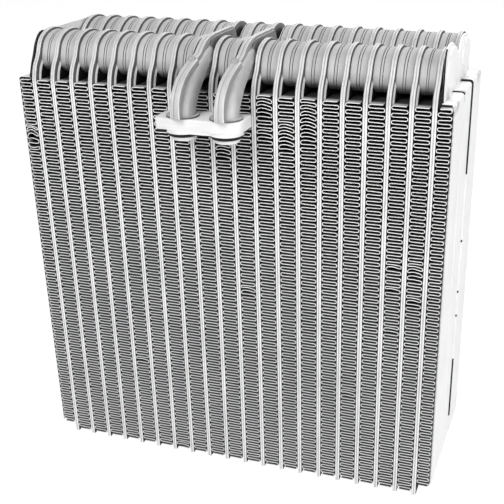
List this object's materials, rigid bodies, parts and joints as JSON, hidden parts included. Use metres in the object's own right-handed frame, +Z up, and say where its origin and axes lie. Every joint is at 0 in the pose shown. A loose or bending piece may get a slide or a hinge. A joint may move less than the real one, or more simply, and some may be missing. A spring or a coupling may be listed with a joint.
{
  "type": "evaporator core",
  "caption": "Plate and fin evaporator core with stacked-cup tanks along its top, curved duct pipes and a connector block with sealed spigots.",
  "frame": {"origin": "middle of the part's footprint, at the lower ends of the plates", "axes": "+X across the stack of plates, towards the outlet side; +Y from the face with the block to the far face, along the air flow; +Z up, towards the tanks"},
  "size_m": [0.2356, 0.1244, 0.25],
  "materials": {
    "plates": "bare, satin",
    "fins": "bare, satin",
    "side_plates": "bare, satin",
    "ducts": "bare, satin",
    "block": "machined, satin",
    "seals": "matt black"
  },
  "bodies": {
    "root": {"tube_plates_01": "plates", "tube_plates_02": "plates", "tube_plates_03": "plates", "tube_plates_04": "plates", "tube_plates_05": "plates", "tube_plates_06": "plates", "tube_plates_07": "plates", "tube_plates_08": "plates", "tube_plates_09": "plates", "tube_plates_10": "plates", "tube_plates_11": "plates", "tube_plates_12": "plates", "tube_plates_13": "plates", "tube_plates_14": "plates", "tube_plates_15": "plates", "tube_plates_16": "plates", "tube_plates_17": "plates", "tube_plates_18": "plates", "tube_plates_19": "plates", "tube_plates_20": "plates", "fin_01": "fins", "fin_02": "fins", "fin_03": "fins", "fin_04": "fins", "fin_05": "fins", "fin_06": "fins", "fin_07": "fins", "fin_08": "fins", "fin_09": "fins", "fin_10": "fins", "fin_11": "fins", "fin_12": "fins", "fin_13": "fins", "fin_14": "fins", "fin_15": "fins", "fin_16": "fins", "fin_17": "fins", "fin_18": "fins", "fin_19": "fins", "fin_20": "fins", "fin_21": "fins", "side_plate_left": "side_plates", "side_plate_right": "side_plates", "inlet_duct_left_half": "ducts", "inlet_duct_right_half": "ducts", "outlet_duct_left_half": "ducts", "outlet_duct_right_half": "ducts", "connector_block": "block", "seal_inlet": "seals", "seal_outlet": "seals"}
  },
  "joints": []
}
